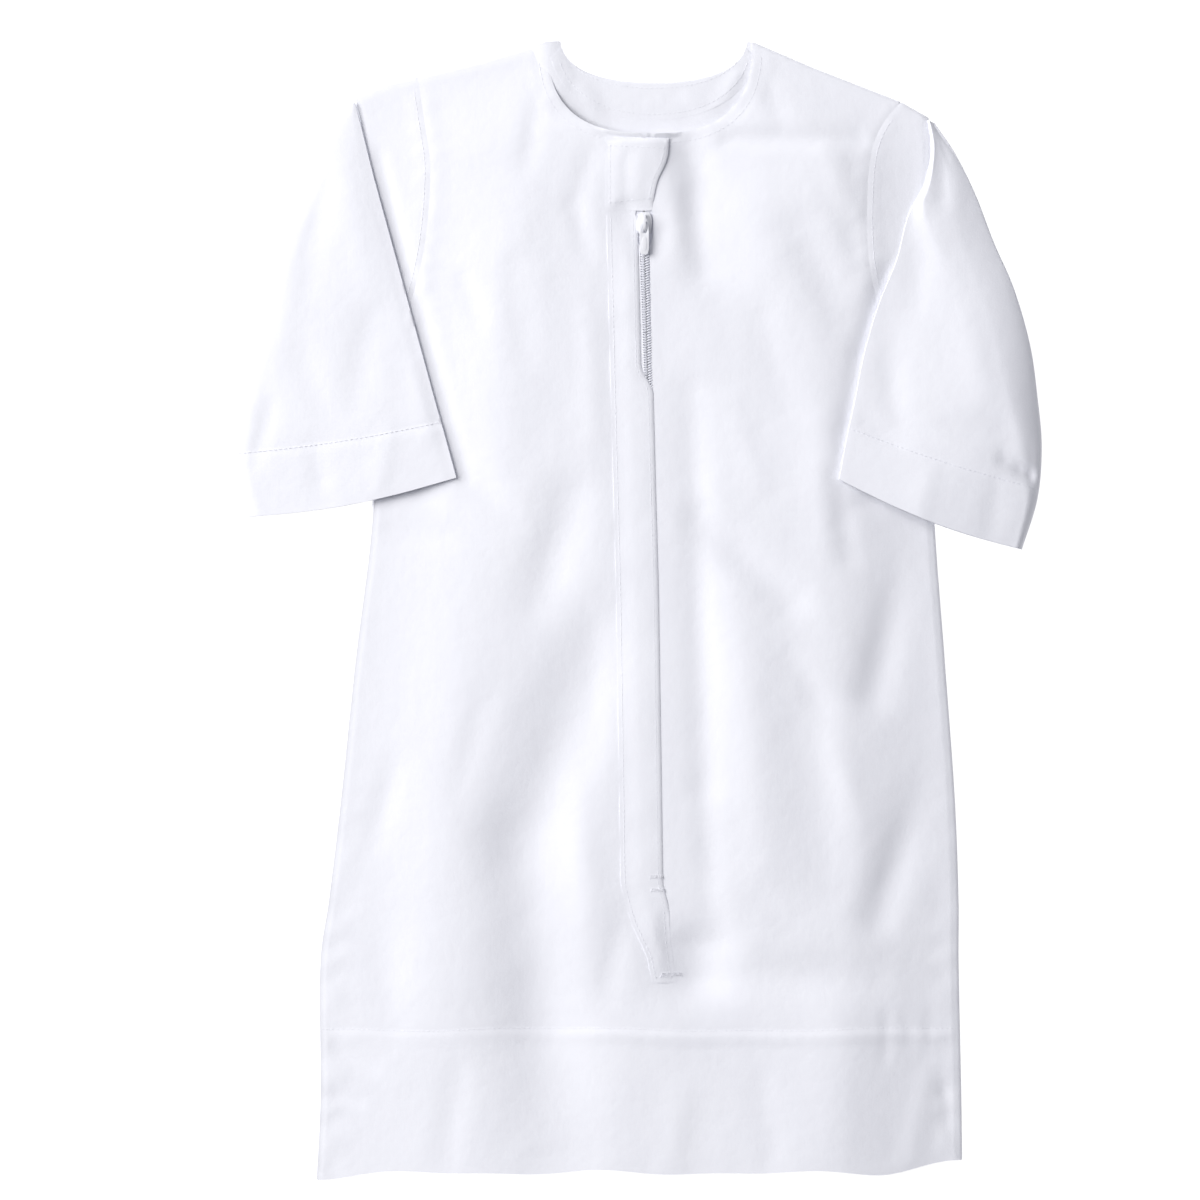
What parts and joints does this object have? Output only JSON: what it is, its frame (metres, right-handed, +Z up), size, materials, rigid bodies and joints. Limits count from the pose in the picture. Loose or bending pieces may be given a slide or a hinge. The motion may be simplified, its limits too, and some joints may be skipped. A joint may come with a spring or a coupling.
{
  "type": "zip-front thobe robe laid flat",
  "caption": "Child's collarless cotton robe with short sleeves and a zip under a front strip, laid flat with its sleeves turned down over the front.",
  "frame": {"origin": "centre of the robe's bounding box, on the surface that it lies on", "axes": "+Y from the hem to the neck, +X to the right seen from above, +Z up, away from the surface"},
  "size_m": [0.4357, 0.611, 0.0135],
  "materials": {
    "cotton": "matt plain-weave cotton with a faint sheen",
    "zip_tape": "matt herringbone tape",
    "zip_coil": "satin nylon coil",
    "zip_slider": "white enamel"
  },
  "bodies": {
    "garment": {"back": "cotton", "front": "cotton", "neck_facing": "cotton", "neck_tab": "cotton", "placket": "cotton", "sleeve_head_left": "cotton", "sleeve_head_right": "cotton", "sleeve_left": "cotton", "sleeve_right": "cotton", "zip_tape_left": "zip_tape", "zip_tape_right": "zip_tape", "zip_chain": "zip_coil", "zip_slider": "zip_slider"},
    "pull_tab": {"zip_pull": "zip_slider"}
  },
  "joints": [
    {"name": "pull_hinge", "type": "hinge", "parent": "garment", "child": "pull_tab", "pos_m": [0.0044, 0.2075, 0.0072], "axis": [-1, 0, 0], "range_deg": [0, 150]}
  ]
}
